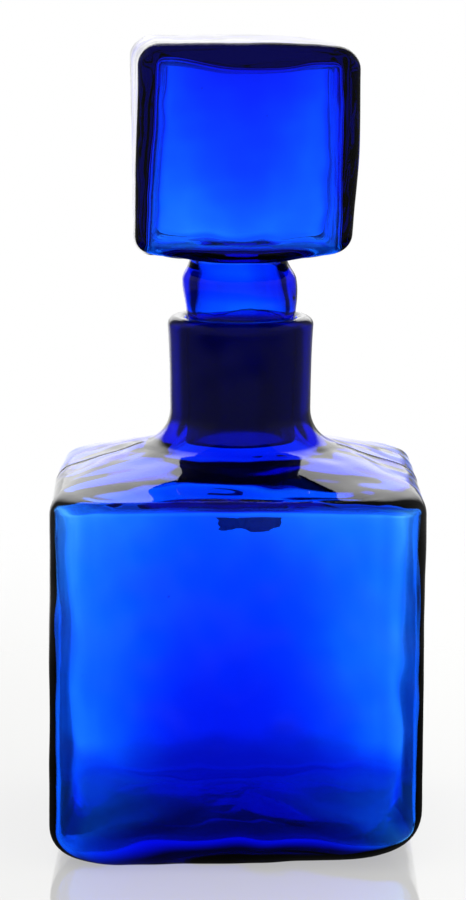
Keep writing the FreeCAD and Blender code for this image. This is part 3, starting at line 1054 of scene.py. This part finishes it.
floorLook = dict(
    radius=0.75,
    spokes=96,
    rings=13,
    drop=0.0002,  # below the base
    fade=(0.16, 0.5),  # where it fades into the white studio
    white=rgba(1, 1, 0.985),
    seen=0.91,  # strength of that white
    seenGain=0.75,  # and its gain for each metre to the right: painted light, lighter to the right
    shadeTint=rgba(0.9, 0.9, 0.885),
    shadeShare=0.3,  # share of the floor that takes the object's shadow
    mirrorTint=rgba(0.62, 0.62, 0.62),
    mirrorRoughness=0.04,
    mirrorGain=1.45,
    ior=1.5,
    flag=0.85,  # share of the light through glass kept between the four sides
    flagFar=0.12,  # and further out
    farSpan=(0.18, 0.42),
    under=0.02,  # share of it on the darkest floor under the base: a painted shadow
    baseEdge=(0.042, 0.05),
    litBehind=(0.0, 0.085),
    litShare=0.2,  # share of it that comes in under the two sides
    litAside=(0.02, 0.05),
    close=0.42,  # how much darker the painted shadow makes the floor close behind the base
    closeStart=(0.04, 0.05),
    closeEnd=(0.075, 0.11),
    closeAside=(0.012, 0.05),
)


def floorDisc(look):
    # a flat disc on rings and spokes
    spokes = np.linspace(0, 2 * math.pi, look["spokes"], endpoint=False)[None, :]
    reach = np.linspace(0, look["radius"], look["rings"] + 1)[1:, None]
    points = np.stack([reach * np.cos(spokes), reach * np.sin(spokes), 0 * reach * spokes], 2)
    points[..., 2] -= look["drop"]
    grid = np.arange(points.shape[0] * points.shape[1]).reshape(points.shape[:2])
    beside = np.roll(grid, -1, 1)
    quads = np.stack([grid[:-1], grid[1:], beside[1:], beside[:-1]], 2).reshape(-1, 4)
    return newPiece("floor", points.reshape(-1, 3), quads.tolist() + [grid[0].tolist()])


def floorMaterial(look):
    # white glossy table: mostly even white, partly shaded by the object, mirroring it at low
    # angles, and fading into the white studio further out; seen through glass it has a painted
    # shadow under and behind the base
    material, bench = newMaterial("floor_white")
    place = bench.node("TexCoord", {}, {}, "Object")
    glossy, passed = bench.rays("Is Glossy Ray", "Is Transmission Ray")
    east, north = bench.axes(place)[:2]
    reach = fromAxis(east, north)
    seen = look["seen"] + look["seenGain"] * east
    # painted shadow under the base, seen through glass: dark in front, lighter from behind and from
    # both sides
    strength = skyLook["through"]
    aside, along = (east * east) ** 0.5, (north * north) ** 0.5
    beyond = aside.math("MAXIMUM", aside, along).between(*look["baseEdge"])
    unlit = 1 - north.between(*look["litBehind"])
    lit = 1 - unlit * (1 - look["litShare"] * aside.between(*look["litAside"]))
    under = strength * (look["under"] + (1 - look["under"]) * lit)
    # round the base the painted light is dimmer between the four sides, and a painted shadow makes
    # it darkest close behind
    far = reach.between(*look["farSpan"])
    kept = look["flag"] + far * (look["flagFar"] - look["flag"])
    under = under + beyond * (strength * flagged(east, north, kept) - under)
    close = north.between(*look["closeStart"]) * (1 - north.between(*look["closeEnd"]))
    close = look["close"] * close * (1 - aside.between(*look["closeAside"]))
    under = under * (1 - close)
    light = bench.node("Emission", {}, {
        "Color": look["white"], "Strength": seen + passed * (under - seen),
    })
    shaded = bench.node("BsdfDiffuse", {}, {"Color": look["shadeTint"]})
    mirror = bench.node("BsdfGlossy", {}, {
        "Color": look["mirrorTint"], "Roughness": look["mirrorRoughness"],
    })
    fresnel = bench.node("Fresnel", {}, {"IOR": look["ior"]})
    top = bench.mixShader(look["shadeShare"] - look["shadeShare"] * passed, light, shaded)
    top = bench.mixShader(fresnel * look["mirrorGain"] * (1 - passed), top, mirror)
    clear = bench.node("BsdfTransparent")
    faded = reach.between(*look["fade"])
    solid = 1 - (1 - passed) * (1 - (1 - faded) * (1 - glossy))
    bench.node("OutputMaterial", {}, {"Surface": bench.mixShader(solid, clear, top)})
    return material


cameraLook = dict(
    place=(-0.00095, -0.9247, 0.2675),
    pitch=math.radians(9.396),  # how far it looks down
    lens=125.65,
)


def studioCamera(look):
    lens = bpy.data.cameras.new("camera")
    lens.lens = look["lens"]
    camera = bpy.data.objects.new("camera", lens)
    camera.location = look["place"]
    camera.rotation_euler = (quarter - look["pitch"], 0, 0)
    scene.collection.objects.link(camera)
    scene.camera = camera


floor = floorDisc(floorLook)
floor.data.materials.append(floorMaterial(floorLook))
studioWorld(skyLook)
studioCamera(cameraLook)
print("stage done")


# riding and replacing

for piece, node, body, slot in (
    (bottle, "bottle", "bottle", "bottle_glass"),
    (stopper, "stopper", "stopper", "stopper_glass"),
    (label, "label", "bottle", "label_paper"),
):
    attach(piece, body)
    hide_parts(node)
